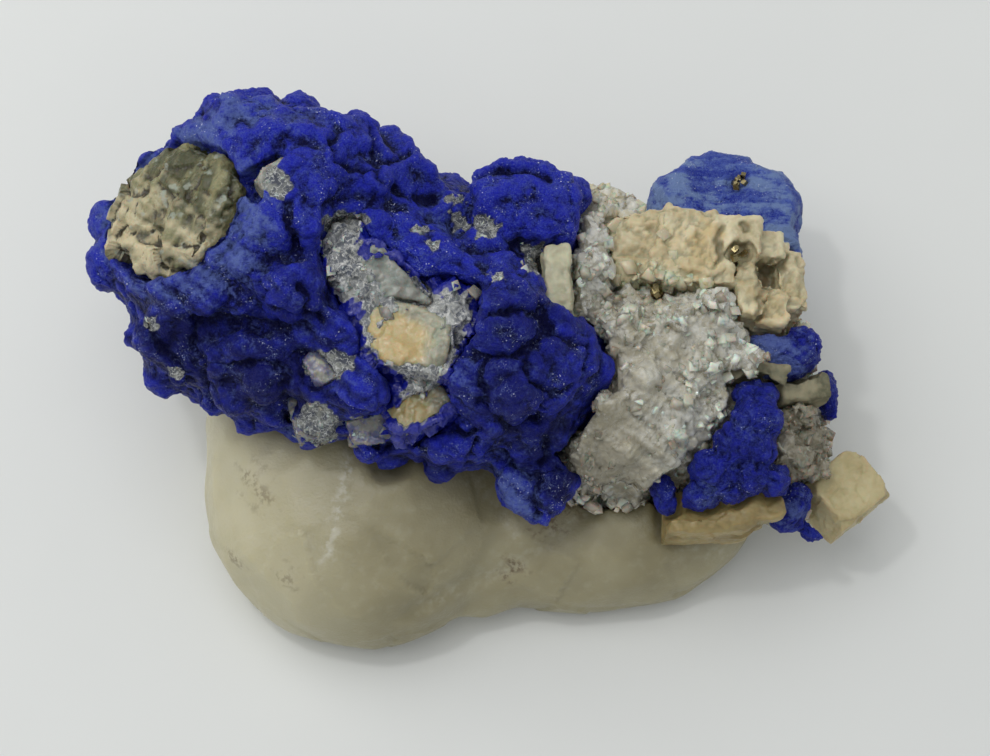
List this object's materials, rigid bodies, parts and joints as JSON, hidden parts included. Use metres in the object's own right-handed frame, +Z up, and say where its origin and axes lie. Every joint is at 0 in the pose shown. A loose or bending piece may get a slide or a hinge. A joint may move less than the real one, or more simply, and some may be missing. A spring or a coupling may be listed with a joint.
{
  "type": "lazurite specimen",
  "caption": "Mineral specimen: knobbly ultramarine lazurite grown on sugary white calcite, over a smooth waxy calcite block it rests on.",
  "frame": {"origin": "on the flat underside of the calcite block, under the middle of the specimen", "axes": "+Z up, +X along the specimen from the lazurite barrel to the tan spur, +Y towards the back, where the square crystal and the pale tablet are"},
  "size_m": [0.0777, 0.0509, 0.0377],
  "materials": {
    "ultramarine_lazurite": "granular, dull to slightly waxy",
    "denim_lazurite": "paler, powdery",
    "waxy_calcite": "smooth, waxy, slightly translucent",
    "sugary_calcite": "granular and glassy",
    "cream_calcite": "granular, satin",
    "tan_crystal": "satin, translucent at the edges",
    "olive_rock": "rough, dull",
    "pyrite": "bright metallic faces"
  },
  "bodies": {
    "root": {"lazurite_mass": "ultramarine_lazurite", "lazurite_ridge": "ultramarine_lazurite", "lazurite_bead": "ultramarine_lazurite", "lazurite_heel": "ultramarine_lazurite", "lazurite_shoulder": "ultramarine_lazurite", "lazurite_flake": "ultramarine_lazurite", "lazurite_tablet": "denim_lazurite", "calcite_block": "waxy_calcite", "sugary_calcite": "sugary_calcite", "pocket_calcite": "sugary_calcite", "cream_crystals": "cream_calcite", "cap_rock": "olive_rock", "tan_band": "olive_rock", "tan_ledge": "tan_crystal", "tan_spur": "tan_crystal", "eye_crystal": "tan_crystal", "face_crystal": "tan_crystal", "rim_crystal": "tan_crystal", "ledge_crystal": "tan_crystal", "window_crystal": "tan_crystal", "glass_crystal": "sugary_calcite", "pod_crystal": "tan_crystal", "prism_crystal": "tan_crystal", "pyrite_1": "pyrite", "pyrite_2": "pyrite", "pyrite_3": "pyrite"}
  },
  "joints": []
}
